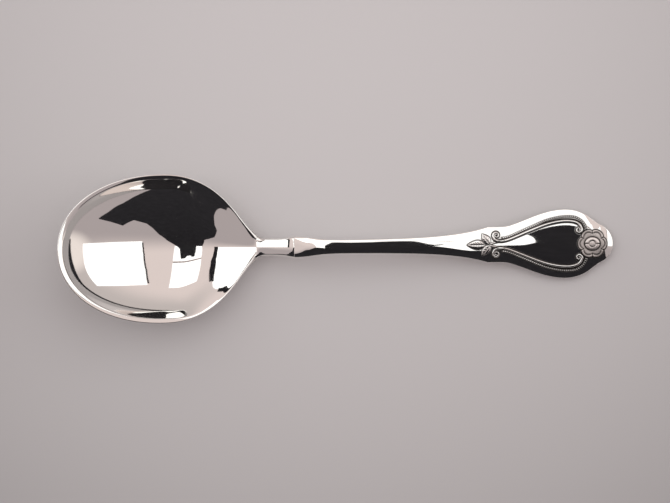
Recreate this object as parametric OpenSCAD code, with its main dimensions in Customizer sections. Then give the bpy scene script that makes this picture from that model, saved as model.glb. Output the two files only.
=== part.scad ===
// Serving spoon with a deep oval bowl and a hollow handle made of two stamped shells.
// The tip of the bowl points to -X, the end of the handle to +X, and the spoon rests on z = 0.

/* [Overall] */
// Length from the tip of the bowl to the end of the handle
overall_len = 210; // [200:1:225]
// Gap between pieces that fit into each other
fit_gap = 0.1; // [0.05:0.01:0.15]

/* [Bowl] */
// Width of the bowl over its rim
bowl_w = 56.3; // [52:0.2:62]
// Length from the tip of the bowl to its widest place
bowl_front = 39; // [35:0.5:43]
// Length from the widest place to the point where the shoulders meet
bowl_back = 35.5; // [34:0.5:40]
// Depth of the hollow below the rim
bowl_depth = 13.5; // [10:0.5:16]
// Thickness of the metal at the bottom of the bowl
bowl_wall = 1.3; // [0.9:0.1:1.8]
// Width of the flat land along the rim
rim_land = 1.6; // [1:0.1:2.2]
// Width that the land narrows to at the neck
land_back = 0.3; // [0.2:0.1:1]
// Thickness of the rim at its outer edge
rim_edge = 1.4; // [1:0.1:1.8]
// Slope of the rim, tip upwards, as the spoon lies on a table
rim_pitch = 15.5; // [13:0.5:17]
// Steepness of the hollow's wall where it meets the rim
hollow_steepness = 52; // [46:1:58]
// Depth of the flat that use has worn under the bowl
wear_flat = 0.15; // [0.05:0.01:0.25]

/* [Neck] */
// Length from the meeting of the shoulders to the handle's mouth
neck_len = 14; // [10:0.5:16]
// Width of the neck at its slimmest
neck_w = 6.6; // [5:0.1:7.6]
// Width of the collar that the neck flares to at the handle's mouth
collar_w = 8.1; // [7.7:0.1:9]
// Length over which the neck flares to the collar
collar_flare = 3.2; // [2:0.1:5]
// Height of the neck's crest above the rim line
neck_crest = 1.7; // [1.3:0.1:2]
// Height of the neck's upright side above the rim line
neck_side = 1; // [0.7:0.1:1.2]
// Depth of the neck's rounded underside below its edge
neck_belly = 1.1; // [0.6:0.1:1.5]
// Size of the fillet between the shoulders and the neck
neck_fillet = 9.2; // [7:0.5:12]

/* [Handle outline] */
// Width of the handle at its mouth
mouth_w = 8.1; // [7.8:0.1:9]
// Length over which the mouth narrows to the stem
mouth_flare = 9.3; // [7:0.1:12]
// Width of the stem at its slimmest
stem_w = 5.2; // [5:0.1:6.5]
// Width of the handle at the small shoulder below the shield
shoulder_w = 13.7; // [12:0.1:16]
// Distance of that shoulder from the end of the handle
shoulder_at = 48; // [44:0.5:50]
// Length over which the stem swells to the shoulder
stem_swell = 13.4; // [10:0.1:16]
// Width of the shield
shield_w = 26.3; // [24:0.1:30]
// Distance of the shield's widest place from the end of the handle
shield_at = 18.3; // [17:0.1:20]
// Length of the shield's curve from its widest place towards the end
shield_turn = 14.8; // [14:0.1:16.5]
// Width of the waist between the shoulder and the shield
waist_w = 11.9; // [11:0.1:14]
// Radius of the round lobe at the end of the handle
lobe_r = 7.9; // [6.5:0.05:8.5]

/* [Handle section] */
// Thickness of the sheet that the shells are stamped from
shell_wall = 0.6; // [0.5:0.05:0.7]
// Height of the front shell above the seam, on the stem
front_stem = 2.6; // [2.3:0.1:3]
// Height of the front shell above the seam, on the shield
front_shield = 2; // [1.6:0.1:2.4]
// Depth of the back shell below the seam, on the stem
back_stem = 2.6; // [2.3:0.1:3]
// Depth of the back shell below the seam, on the shield
back_shield = 1.7; // [1.4:0.1:2.2]
// Height of the upright edge of the back shell at the seam
seam_edge = 0.5; // [0.3:0.05:0.6]
// Height of the front's rounded top over its upright side, at the mouth
crown_mouth = 0.9; // [0.7:0.05:1.1]
// Height of the front's rounded top over its upright side, on the stem
crown_stem = 0.4; // [0.3:0.05:0.7]
// Height of the front's rounded top over its upright side, on the shield
crown_shield = 1.5; // [1.1:0.05:1.6]
// Drop of the front's crest towards the mouth
nose_drop = 0.8; // [0.6:0.05:1]
// Length over which the crest drops
nose_len = 12; // [9:0.5:15]

/* [Handle profile] */
// Height of the seam above the table at the mouth
mouth_height = 9.3; // [8.8:0.1:9.4]
// Height of the seam above the table at the top of the handle's arch
arch_height = 9.4; // [9.4:0.1:10.8]
// Distance from the mouth to the top of the arch
arch_at = 9; // [7:0.5:14]
// Distance from the end of the handle to where it touches the table
touch_at = 6; // [4:0.5:8]

/* [Tang and cement] */
// Length of the tang inside the handle
tang_len = 50; // [40:1:56]
// Share of its width that the tang loses towards its end
tang_taper = 0.3; // [0:0.05:0.5]
// Thickness of the tang at its edges
tang_edge = 0.4; // [0.3:0.05:0.5]
// Thickness of the cement beside the tang at the slimmest place
cement_side = 0.25; // [0.15:0.05:0.35]
// Thickness of the cement over the tang at the mouth
cement_over = 0.05; // [0.03:0.01:0.1]
// Thickness of the cement under the tang
cement_under = 0.6; // [0.5:0.05:0.8]
// Width kept clear of cement along the inside of the seam, for its solder
solder_room = 0.5; // [0.4:0.05:0.6]

/* [Hidden] */

// Shape exponents: the outline of the bowl and of its shoulders, and the tail of the hollow at the neck
tip_power = 2.1;
shoulder_power = 2.3;
shoulder_ease = 0.9;
tail_soft = 0.3;
tail_from = 0.2;
tail_spread = 0.6;
tail_ramp = 0.5;

// Shape exponents of the handle's section: plain back, flat mouth, round nose, flat stem, round shield,
// and where along the handle they change
back_power = 2.4;
mouth_power = 5;
nose_power = 2.3;
stem_power = 4.5;
shield_power = 2;
side_power = 12;
nose_over = 5.5;
flat_from = 8.5;
flat_over = 7;
round_from = 37;
round_over = 24;
swell_over = 45;

// Places along the spoon, measured from the tip of the bowl
shoulders_u = bowl_front + bowl_back;
joint_u = shoulders_u + neck_len;
mouth_u = joint_u + fit_gap;
arch_u = joint_u + arch_at;
touch_u = overall_len - touch_at;
tang_end_u = joint_u + tang_len;
tang_half = stem_w / 2 - shell_wall - solder_room - cement_side - 2 * fit_gap;
tang_up = front_stem - nose_drop - shell_wall - cement_over - 2 * fit_gap;
tang_down = back_stem - shell_wall - cement_under - 2 * fit_gap;
cement_edge = 0.08;
sweep_before = 1;
sweep_u = shoulders_u - sweep_before;
neck_blend = 14;
crown_run = 2.14;
crown_ease = 4.5;
lobe_blend = 2;
waist_blend = 0.6;
shield_from = 60;
shield_over = 40;
land_run = 22;

// Columns of each surface, from the edge (0) over the land (1) to the spine (2)
bowl_cols = [0, 1, 1.08, 1.2, 1.35, 1.52, 1.72, 1.9];
shell_cols = [0, 0.35, 0.7, 1, 1.12, 1.3, 1.5, 1.75];
cement_cols = [0, 1, 1.5];
tip_lines = 24;
back_lines = 34;
lobe_lines = 14;
handle_lines = 64;
tang_lines = 14;

function mix(a, b, t) = a + (b - a) * t;
function ease(t) = let (s = max(0, min(1, t))) s * s * (3 - 2 * s);
function smax(a, b, k) = max(a, b) + pow(max(k - abs(a - b), 0), 2) / (4 * k);
function power(base, e) = sign(base) * pow(abs(base), e);

// Round cap: 1 at the middle and 0 at the rim, a slice of a sphere of the given rim slope
cap_k = 1 / sin(hollow_steepness);
cap_low = sqrt(cap_k * cap_k - 1);
function cap(r) = (sqrt(cap_k * cap_k - min(r, 1) * min(r, 1)) - cap_low) / (cap_k - cap_low);

// Half-widths of the bowl: the shoulders alone, the neck alone, and the whole outline
function tip_half(u, len, half) =
    half * pow(max(0, 1 - pow((bowl_front - u) / len, tip_power)), 1 / tip_power);
function back_half(u, len, half) =
    half * power(1 - pow((u - bowl_front) / len, shoulder_power), shoulder_ease);
function collar(u) = exp(-pow((joint_u - u) / collar_flare, 2));
function neck_half(u) = mix(neck_w, collar_w, collar(u)) / 2;
function oval_half(u, inset) = u < bowl_front
    ? tip_half(u, bowl_front - inset, bowl_w / 2 - inset)
    : back_half(u, bowl_back - inset, bowl_w / 2 - inset);
function bowl_half(u) = u < bowl_front ? oval_half(u, 0) : smax(oval_half(u, 0), neck_half(u), neck_fillet);

// Half-width of the bowl inside a margin, and shares of the way along and across it
function inner_half(u, inset) = max(0.001, u < bowl_front ? oval_half(u, inset) : bowl_half(u) - inset);
function share_along(u, inset) =
    min(1, abs(u - bowl_front) / ((u < bowl_front ? bowl_front : bowl_back) - inset));
function share_across(u, y, inset) = min(1, y / inner_half(u, inset));

// Depth of a dished shape as a share: a round cap that runs out in a tail with straighter sides at the neck
function tail_side(w) = 1 - (sqrt(w * w + tail_soft * tail_soft) - tail_soft)
    / (sqrt(1 + tail_soft * tail_soft) - tail_soft);
function tail_share(q, w) =
    ease((q - tail_from) / (1 - tail_from) + tail_spread * w * w * ease(q / tail_ramp));
function dish(u, y, inset) = let (
    q = share_along(u, inset),
    w = share_across(u, y, inset),
    round = cap(sqrt(q * q + w * w * (1 - q * q)))
) u < bowl_front ? round : mix(round, (1 - q * q) * tail_side(w), tail_share(q, w));

function land(u) = mix(rim_land, land_back, ease((u - bowl_front) / land_run));
function hollow(u, y) = bowl_depth * dish(u, y, land(u));
function neck_share(u) = ease((u - shoulders_u + neck_blend) / neck_blend);
function crown_share(u, v) = let (past = max(0, u - shoulders_u + land_back))
    mix(1 - exp(-pow(past / crown_ease, 2)), 1 - exp(-past / crown_run), tail_side(v));
function belly(u, y, v) = smax(
    rim_edge + (bowl_depth + bowl_wall - rim_edge) * dish(u, y, 0),
    rim_edge + neck_belly * neck_share(u) * (1 - v * v),
    neck_belly);

// Height of the rim at the widest place, so that the worn underside just reaches the table
rim_fall = tan(rim_pitch);
rim_z = max([for (u = [bowl_front:0.25:sweep_u]) belly(u, 0, 0) + rim_fall * (u - bowl_front)]) - wear_flat;

// Height of the seam along the handle: it climbs to the arch and comes down to lie on the table
end_z = back_shield;
function seam_z(u) = u < arch_u
    ? mix(mouth_height, arch_height, sin(90 * (u - joint_u) / arch_at))
    : mix(end_z, arch_height, (1 + cos(180 * min(1, (u - arch_u) / (touch_u - arch_u)))) / 2);

// Height of the rim and the neck's edge: a straight slope that sweeps up into the handle's seam
mouth_slope = (arch_height - mouth_height) * PI / 2 / arch_at;
function sweep(t, z0, m0, z1, m1) = let (a = z0 - z1) z0 + m0 * t
    + (-3 * a - 2 * m0 - m1) * t * t + (2 * a + m0 + m1) * t * t * t;
function rim_line(u) = rim_z - rim_fall * (u - bowl_front);
sweep_len = joint_u - sweep_u;
function neck_line(u) = sweep((u - sweep_u) / sweep_len,
    rim_line(sweep_u), -rim_fall * sweep_len, mouth_height, mouth_slope * sweep_len);
function axis_z(u) = u < sweep_u ? rim_line(u) : u < joint_u ? neck_line(u) : seam_z(u);

function neck_rise(v) = neck_side + (neck_crest - neck_side) * (1 - v * v);
function bowl_top(u, y, v) = axis_z(u) + crown_share(u, v) * neck_rise(v) - hollow(u, y);
function bowl_under(u, y, v) = max(0, axis_z(u) - belly(u, y, v));

// Tang: a flat bar with rounded faces, and the pocket that it leaves in the cement
function tang_side(u) = tang_half * (1 - tang_taper * (u - joint_u) / tang_len);
function tang_bulge(v) = tang_edge / 2 + (tang_up + tang_down - tang_edge) / 2 * (1 - v * v);
function tang_mid(u) = axis_z(u) + (tang_up - tang_down) / 2;
function tang_top(u, v, gap) = tang_mid(u) + tang_bulge(v) + gap;
function tang_under(u, v, gap) = tang_mid(u) - tang_bulge(v) - gap;

// Half-width of the handle, at u from the tip of the bowl or d from its own end
function lobe_half(d) = sqrt(max(0, lobe_r * lobe_r - pow(lobe_r - min(d, 2 * lobe_r), 2)));
function shield_half(d) = d < shield_at
    ? shield_w / 2 * sqrt(max(0, 1 - pow((shield_at - d) / shield_turn, 2)))
    : let (t = (d - shield_at) / (shoulder_at - shield_at))
      t < 1 ? mix(waist_w, shield_w, pow(cos(90 * t), 2)) / 2 : waist_w / 2 * (2 - t);
function stem_half(d) = mix(stem_w, shoulder_w, min(1, exp((shoulder_at - d) / stem_swell))) / 2;
function mouth_half(u) = (mouth_w - stem_w) / 2 * exp(-pow((u - joint_u) / mouth_flare, 2));
function handle_half(u) = let (d = overall_len - u)
    d < shield_at
    ? smax(shield_half(d), lobe_half(d), lobe_blend)
    : smax(shield_half(d), stem_half(d), waist_blend) + mouth_half(u);

// Heights of the shells over and under the seam, on the spine
function shield_share(u) = ease((u - joint_u - shield_from) / shield_over);
function front_rise(u) = mix(front_stem, front_shield, shield_share(u));
function back_drop(u) = mix(back_stem, back_shield, shield_share(u));
function front_crest(u) = front_rise(u) - nose_drop * pow(max(0, 1 - (u - joint_u) / nose_len), 2);
function front_power(u) = let (
    past = u - joint_u,
    mouth = mix(mouth_power, nose_power, ease(past / nose_over)),
    stem = mix(mouth, stem_power, ease((past - flat_from) / flat_over))
) mix(stem, shield_power, ease((past - round_from) / round_over));
function front_crown(u) = let (
    past = u - joint_u,
    stem = mix(crown_mouth, crown_stem, ease((past - flat_from) / flat_over))
) mix(stem, crown_shield, ease((past - round_from) / swell_over));
function section(side, top, v, p) = side + top * (1 - pow(v, p));
function front_top(u, v) = seam_z(u)
    + section(front_crest(u) - front_crown(u), front_crown(u), v, front_power(u));
function back_under(u, v) = max(0, seam_z(u) - section(seam_edge, back_drop(u) - seam_edge, v, back_power));
function front_room(u, t) = let (
    room = front_crest(u) - shell_wall,
    side = max(0, room - front_crown(u))
) side * (1 - pow(t, side_power)) + (room - side) * (1 - pow(t, front_power(u)));
function back_room(u, t) = (back_drop(u) - shell_wall) * (1 - pow(t, back_power));
function cement_rise(room, v, p) = section(cement_edge, room - fit_gap - cement_edge, v, p);

// A line runs from the edge over the land to the spine: [edge, land, spine]
function line_point(l, c) = c <= 1 ? mix(l[0], l[1], c) : mix(l[1], l[2], c - 1);
function line_share(l, c) = let (a = norm(l[1] - l[0]), b = norm(l[2] - l[1]))
    c <= 1 ? 1 - c * a / (a + b) : (2 - c) * b / (a + b);

// Surface points of a leaf: lines from one blunt end round the tip to the other, then the spine.
// The height z is a function of the place u, y, the share v along line i and the share t inside its land.
function leaf_point(lines, i, c, side, z) = let (p = line_point(lines[i], c))
    [p.x - overall_len / 2, side * p.y, z(p.x, p.y, line_share(lines[i], c), min(1, 2 - c), i)];
function leaf_sheet(lines, cols, turn, z) = let (n = len(lines) - 1) concat(
    [for (k = [-n:n]) for (c = cols) leaf_point(lines, abs(k), c, turn * sign(k), z)],
    [for (i = [0:n]) leaf_point(lines, i, 2, 1, z)]);
function leaf_points(lines, cols, turn, top, under) =
    concat(leaf_sheet(lines, cols, turn, top), leaf_sheet(lines, cols, turn, under));

// Faces of a leaf whose points start at the given index: two sheets and the wall between their edges
function leaf_faces(lines, cols, first) = let (
    n = len(lines) - 1,
    m = len(cols),
    sheet = (2 * n + 1) * m + n + 1,
    at = function (s, k, j) first + s * sheet + (j < m ? (k + n) * m + j : (2 * n + 1) * m + abs(k))
) concat(
    [for (k = [-n:n - 1]) for (j = [0:m - 1])
        each quad(at(0, k, j), at(0, k + 1, j), at(0, k + 1, j + 1), at(0, k, j + 1))],
    [for (k = [-n:n - 1]) for (j = [0:m - 1])
        each quad(at(1, k, j + 1), at(1, k + 1, j + 1), at(1, k + 1, j), at(1, k, j))],
    [for (k = [-n:n - 1]) each quad(at(0, k, 0), at(1, k, 0), at(1, k + 1, 0), at(0, k + 1, 0))]);
function quad(a, b, c, d) = [[a, b, c], [a, c, d]];

// Points round the blunt end of a leaf, in order: over the top sheet and back along the lower one
function leaf_end(lines, cols, first) = let (
    n = len(lines) - 1,
    m = len(cols),
    sheet = (2 * n + 1) * m + n + 1,
    at = function (s, k, j) first + s * sheet + (j < m ? (k + n) * m + j : (2 * n + 1) * m + n)
) concat(
    [for (j = [0:m]) at(0, -n, j)],
    [for (j = [m - 1:-1:0]) at(0, n, j)],
    [for (j = [0:m]) at(1, n, j)],
    [for (j = [m - 1:-1:0]) at(1, -n, j)]);

// Closed leaf between a top and an under surface
module leaf(lines, cols, turn, top, under) {
    m = len(cols);
    end = leaf_end(lines, cols, 0);
    end_faces = [for (j = [0:2 * m - 1]) each quad(end[j], end[j + 1], end[4 * m - j], end[4 * m + 1 - j])];
    polyhedron(leaf_points(lines, cols, turn, top, under), concat(leaf_faces(lines, cols, 0), end_faces));
}

// Lines of the bowl: fanned round the tip, then square to the axis along the shoulders, neck and tang
fan_u = bowl_front * 0.62;
function tip_line(a) = let (c = pow(cos(a), 2 / tip_power), s = pow(sin(a), 2 / tip_power)) [
    [bowl_front * (1 - c), bowl_w / 2 * s],
    [bowl_front - (bowl_front - rim_land) * c, (bowl_w / 2 - rim_land) * s],
    [mix(bowl_front, fan_u, cos(a)), 0]];
function back_line(u) = let (half = bowl_half(u)) [
    [u, half],
    [u, half - land(u)],
    [u, 0]];
bowl_lines = concat(
    [for (i = [0:tip_lines - 1]) tip_line(90 * i / tip_lines)],
    [for (i = [0:back_lines]) back_line(mix(bowl_front, joint_u, i / back_lines))]);

// Lines of the tang from its mouth end, and of its pocket from a blind end that is one nose longer
function tang_line(u, gap) = let (half = tang_side(u) + gap) [[u, half], [u, half / 2], [u, 0]];
tang_body = [for (i = [0:tang_lines]) tang_line(mix(joint_u, tang_end_u, i / tang_lines), 0)];
pocket_nose = 1;
pocket_half = tang_side(tang_end_u) + fit_gap;
function nose_u(share) = tang_end_u + pocket_nose * share;
pocket_lines = concat(
    [[[nose_u(1), 0], [nose_u(0.8), 0], [nose_u(0.6), 0]],
    [[nose_u(1), pocket_half], [nose_u(0.7), pocket_half / 2], [nose_u(0.4), 0]]],
    [for (i = [0:tang_lines]) tang_line(mix(tang_end_u, mouth_u, i / tang_lines), fit_gap)]);

// Lines of a handle shell: fanned round the lobe at the end, then square to the axis up to the mouth
lobe_u = overall_len - lobe_r;
lobe_fan = 0.25;
slope_step = 0.1;
function lobe_line(a, inset) = let (
    u = lobe_u + lobe_r * cos(a),
    edge = [u, handle_half(u)],
    spine = [lobe_u + lobe_r * cos(a) * lobe_fan, 0]
) [mix(edge, spine, inset.x / norm(edge - spine)), mix(edge, spine, inset.y / norm(edge - spine)), spine];
function shell_line(u, inset) = let (
    half = handle_half(u),
    slope = (handle_half(u + slope_step) - handle_half(u - slope_step)) / (2 * slope_step),
    slant = sqrt(1 + slope * slope)
) [[u, half - inset.x * slant], [u, half - inset.y * slant], [u, 0]];
function shell_lines(inset, from_u) = concat(
    [for (i = [0:lobe_lines - 1]) lobe_line(90 * i / lobe_lines, inset)],
    [for (i = [0:handle_lines]) shell_line(mix(lobe_u, from_u, i / handle_lines), inset)]);
outer_lines = shell_lines([0, shell_wall], mouth_u);
cement_inset = shell_wall + fit_gap + solder_room;
cement_lines = shell_lines([cement_inset, cement_inset + solder_room], mouth_u);

// Pressed bowl with its rim and the neck, and the tang that runs on from the neck
module bowl() {
    body = len(bowl_lines);
    top = function (u, y, v, t, i) i < body ? bowl_top(u, y, v) : tang_top(u, v, 0);
    under = function (u, y, v, t, i) i < body ? bowl_under(u, y, v) : tang_under(u, v, 0);
    color("gainsboro")
        leaf(concat(bowl_lines, tang_body), bowl_cols, 1, top, under);
}

// Front half of the handle: crowned outside, hollow inside, its crest dropping towards the mouth
module handle_front() {
    top = function (u, y, v, t, i) front_top(u, v);
    under = function (u, y, v, t, i) seam_z(u) + front_room(u, t);
    color("silver")
        leaf(outer_lines, shell_cols, -1, top, under);
}

// Back half of the handle, plain, lying on the table at its end
module handle_back() {
    top = function (u, y, v, t, i) seam_z(u) - back_room(u, t);
    under = function (u, y, v, t, i) back_under(u, v);
    color("silver")
        leaf(outer_lines, shell_cols, -1, top, under);
}

// Set cement that fills the shells, with the pocket that the tang sits in
module handle_cement() {
    top = function (u, y, v, t, i) seam_z(u) + cement_rise(front_room(u, 0), v, front_power(u));
    under = function (u, y, v, t, i) seam_z(u) - cement_rise(back_room(u, 0), v, back_power);
    pocket_top = function (u, y, v, t, i) tang_top(u, v, fit_gap);
    pocket_under = function (u, y, v, t, i) tang_under(u, v, fit_gap);
    body = leaf_points(cement_lines, cement_cols, -1, top, under);
    pocket = leaf_points(pocket_lines, cement_cols, -1, pocket_top, pocket_under);
    outer_end = leaf_end(cement_lines, cement_cols, 0);
    inner_end = leaf_end(pocket_lines, cement_cols, len(body));
    ring = len(outer_end);
    color("tan")
        polyhedron(concat(body, pocket), concat(
            leaf_faces(cement_lines, cement_cols, 0),
            [for (f = leaf_faces(pocket_lines, cement_cols, len(body))) [f[2], f[1], f[0]]],
            [for (r = [0:ring - 1]) let (s = (r + 1) % ring)
                each quad(outer_end[r], outer_end[s], inner_end[s], inner_end[r])]));
}

bowl();
handle_front();
handle_back();
handle_cement();
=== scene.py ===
"""Silver serving spoon with a deep oval bowl and a hollow, ornamented handle, built around its solid parts.

All shapes are worked out in millimetres. The place u runs along the spoon from the tip of the bowl, y is the
distance from the plane of symmetry, and z is the height above the table.
"""

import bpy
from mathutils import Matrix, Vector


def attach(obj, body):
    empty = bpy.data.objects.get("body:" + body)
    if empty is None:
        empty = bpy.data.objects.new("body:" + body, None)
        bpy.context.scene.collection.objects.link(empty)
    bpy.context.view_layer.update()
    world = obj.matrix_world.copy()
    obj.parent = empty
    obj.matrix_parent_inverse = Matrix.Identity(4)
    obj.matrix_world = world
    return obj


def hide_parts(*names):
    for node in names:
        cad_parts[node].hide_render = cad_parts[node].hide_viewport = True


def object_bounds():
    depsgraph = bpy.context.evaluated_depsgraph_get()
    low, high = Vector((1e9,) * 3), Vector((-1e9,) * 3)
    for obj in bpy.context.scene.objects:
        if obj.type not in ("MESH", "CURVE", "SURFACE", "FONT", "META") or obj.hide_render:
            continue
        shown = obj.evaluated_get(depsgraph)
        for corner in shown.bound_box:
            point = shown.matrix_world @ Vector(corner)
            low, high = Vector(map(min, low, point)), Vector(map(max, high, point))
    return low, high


bl_info = {
    "name": "Serving Spoon",
    "version": (1, 0, 0),
    "blender": (4, 5, 0),
    "location": "View3D > Sidebar > Spoon",
    "description": "Builds a silver serving spoon with a deep bowl and an ornamented hollow handle",
    "category": "Add Mesh",
}

from types import SimpleNamespace

import bpy
import numpy as np
from bpy.props import FloatProperty, FloatVectorProperty, PointerProperty
from mathutils import Matrix, Vector

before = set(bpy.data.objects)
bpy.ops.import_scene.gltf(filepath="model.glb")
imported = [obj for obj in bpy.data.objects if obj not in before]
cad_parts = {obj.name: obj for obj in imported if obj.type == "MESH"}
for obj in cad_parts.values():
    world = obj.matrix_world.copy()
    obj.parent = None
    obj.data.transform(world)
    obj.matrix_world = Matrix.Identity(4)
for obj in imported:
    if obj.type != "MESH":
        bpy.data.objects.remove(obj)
CAD_BOX = [list(corner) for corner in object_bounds()]
MM = 0.001
CAD_LEN = (CAD_BOX[1][0] - CAD_BOX[0][0]) / MM
BODY = "root"


def length(name, description, mm):
    """A length, with its default given in millimetres."""
    return FloatProperty(name=name, description=description, default=mm * MM, unit="LENGTH", precision=5)


def angle(name, description, degrees):
    """An angle, with its default given in degrees."""
    return FloatProperty(name=name, description=description, default=np.radians(degrees), unit="ROTATION")


def share(name, description, value):
    """A share from 0 to 1."""
    return FloatProperty(name=name, description=description, default=value, subtype="FACTOR", min=0, max=1)


def paint(name, description, hex_colour):
    """A colour, with its default given as an sRGB hex value."""
    return FloatVectorProperty(
        name=name, description=description, default=linear(hex_colour)[:3], subtype="COLOR", min=0, max=1
    )


def linear(hex_colour):
    """Linear RGBA of an sRGB hex colour."""
    value = np.array([int(hex_colour[i : i + 2], 16) for i in (1, 3, 5)]) / 255
    low = value <= 0.04045
    rgb = np.where(low, value / 12.92, ((value + 0.055) / 1.055) ** 2.4)
    return (*rgb.tolist(), 1.0)


class SpoonBowl(bpy.types.PropertyGroup):
    """Sizes of the bowl, its rim, the neck and the tang."""

    bowl_w: length("Bowl width", "Width over the rim", 56.3)
    bowl_front: length("Bowl front", "Length from the tip to the widest place", 39)
    bowl_back: length("Bowl back", "Length from the widest place to the shoulders", 35.5)
    bowl_depth: length("Bowl depth", "Depth of the hollow below the rim", 13.5)
    bowl_wall: length("Bowl wall", "Thickness of the metal at the bottom", 1.3)
    rim_land: length("Rim land", "Width of the land along the rim", 1.6)
    land_back: length("Land at the neck", "Width that the land narrows to at the neck", 0.3)
    land_lean: angle("Land lean", "Slope of the land towards the hollow", 9)
    rim_edge: length("Rim edge", "Thickness of the rim at its outer edge", 1.4)
    rim_round: length("Rim rounding", "Radius of the rim's outer corners", 0.4)
    land_round: length("Land rounding", "Softness of the land's inner corner", 0.3)
    rim_pitch: angle("Rim pitch", "Slope of the rim, tip upwards", 15.5)
    hollow_steepness: angle("Hollow steepness", "Slope of the hollow's wall at the rim", 52)
    wear_flat: length("Worn flat", "Depth of the flat worn under the bowl", 0.15)
    neck_len: length("Neck length", "Length from the shoulders to the handle's mouth", 14)
    neck_w: length("Neck width", "Width of the neck at its slimmest", 6.6)
    neck_round: length("Neck rounding", "Radius of the neck's corners", 1)
    collar_w: length("Collar width", "Width of the collar at the handle's mouth", 8.1)
    collar_flare: length("Collar flare", "Length over which the neck flares to the collar", 3.2)
    neck_crest: length("Neck crest", "Height of the neck's crest above the rim line", 1.7)
    neck_side: length("Neck side", "Height of the neck's upright side above the rim line", 1)
    neck_belly: length("Neck belly", "Depth of the neck's underside below its edge", 1.1)
    neck_fillet: length("Neck fillet", "Fillet between the shoulders and the neck", 9.2)
    tang_len: length("Tang length", "Length of the tang inside the handle", 50)
    tang_w: length("Tang width", "Width of the tang at its root", 2.1)
    tang_high: length("Tang height", "Thickness of the tang", 2.15)
    tang_drop: length("Tang drop", "Depth of the tang's middle below the handle's seam", 0.125)


class SpoonHandle(bpy.types.PropertyGroup):
    """Sizes of the two stamped shells of the handle."""

    overall_len: length("Overall length", "Length from the bowl's tip to the handle's end", CAD_LEN)
    fit_gap: length("Fit gap", "Gap between the neck and the handle's mouth", 0.1)
    mouth_w: length("Mouth width", "Width of the handle at its mouth", 8.1)
    mouth_flare: length("Mouth flare", "Length over which the mouth narrows to the stem", 9.3)
    stem_w: length("Stem width", "Width of the stem at its slimmest", 5.2)
    shoulder_w: length("Shoulder width", "Width at the small shoulder below the shield", 13.7)
    shoulder_at: length("Shoulder place", "Distance of the shoulder from the handle's end", 48)
    stem_swell: length("Stem swell", "Length over which the stem swells to the shoulder", 13.4)
    shield_w: length("Shield width", "Width of the shield", 26.3)
    shield_at: length("Shield place", "Distance of the shield's widest place from the end", 18.3)
    shield_turn: length("Shield turn", "Length of the shield's curve towards the end", 14.8)
    waist_w: length("Waist width", "Width between the shoulder and the shield", 11.9)
    lobe_r: length("Lobe radius", "Radius of the round lobe at the handle's end", 7.9)
    shell_wall: length("Shell wall", "Thickness of the stamped sheet", 0.6)
    front_stem: length("Front on stem", "Height of the front over the seam, on the stem", 2.6)
    front_shield: length("Front on shield", "Height of the front over the seam, on the shield", 2)
    back_stem: length("Back on stem", "Depth of the back below the seam, on the stem", 2.6)
    back_shield: length("Back on shield", "Depth of the back below the seam, on the shield", 1.7)
    seam_edge: length("Seam edge", "Height of the back shell's upright edge", 0.5)
    crown_mouth: length("Crown at mouth", "Height of the rounded top, at the mouth", 0.9)
    crown_stem: length("Crown on stem", "Height of the rounded top, on the stem", 0.4)
    crown_shield: length("Crown on shield", "Height of the rounded top, on the shield", 1.5)
    seam_round: length("Seam rounding", "Radius of the shells' outer corners", 0.3)
    nose_drop: length("Nose drop", "Drop of the front's crest towards the mouth", 0.8)
    nose_len: length("Nose length", "Length over which the crest drops", 12)
    mouth_height: length("Mouth height", "Height of the seam at the mouth", 9.3)
    arch_height: length("Arch height", "Height of the seam at the top of the arch", 9.4)
    arch_at: length("Arch place", "Distance from the mouth to the top of the arch", 9)
    touch_at: length("Touch place", "Distance from the end to where the handle touches the table", 6)


class SpoonOrnament(bpy.types.PropertyGroup):
    """Sizes of the relief on the front of the handle."""

    rib_w: length("Rib half-width", "Half the width of the smooth scroll rib", 0.48)
    rib_high: length("Rib height", "Height of the scroll rib", 0.38)
    groove: length("Groove depth", "Depth of the chased line beside the ribs", 0.1)
    bead_pitch: length("Bead pitch", "Distance between the beads", 0.8)
    bead_high: length("Bead height", "Height of the beads", 0.2)
    leaf_high: length("Leaf height", "Height of the leaves", 0.4)
    rose_r: length("Rose radius", "Radius of the rose", 5.6)
    rose_at: length("Rose place", "Distance of the rose's centre from the handle's end", 8)
    rose_high: length("Rose height", "Height of the rose above the lobe", 0.9)


class SpoonFinish(bpy.types.PropertyGroup):
    """Colours of the finishes."""

    silver: paint("Silver", "Polished silver", "#FBF9F5")
    satin: paint("Satin", "Silver of the chased leaves and rose, dulled by fine patina", "#F1E8E3")
    # Patina colour, also used for painted shade in the handle's channel and on its far beads
    patina: paint("Patina", "Dark sulphide left in the recesses", "#2E2926")
    cement: paint("Cement", "Resin cement inside the handle", "#8C6B4D")
    table: paint("Table", "Pale paper that the spoon lies on", "#D0CDCD")
    room: paint("Room", "Walls of the room, in the light", "#E0D2CF")
    low: paint("Low wall", "Foot of the walls", "#C3BAB8")
    end: paint("End wall", "Foot of the wall beyond the handle, in the light", "#F0E5E0")
    shade: paint("Shade", "Walls of the room, on the shaded side", "#ACA2A3")
    drape: paint("Drape", "Dark drape on the viewer's side", "#3C3C40")
    haze: share("Haze", "Roughness of the polished silver", 0.03)


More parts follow.
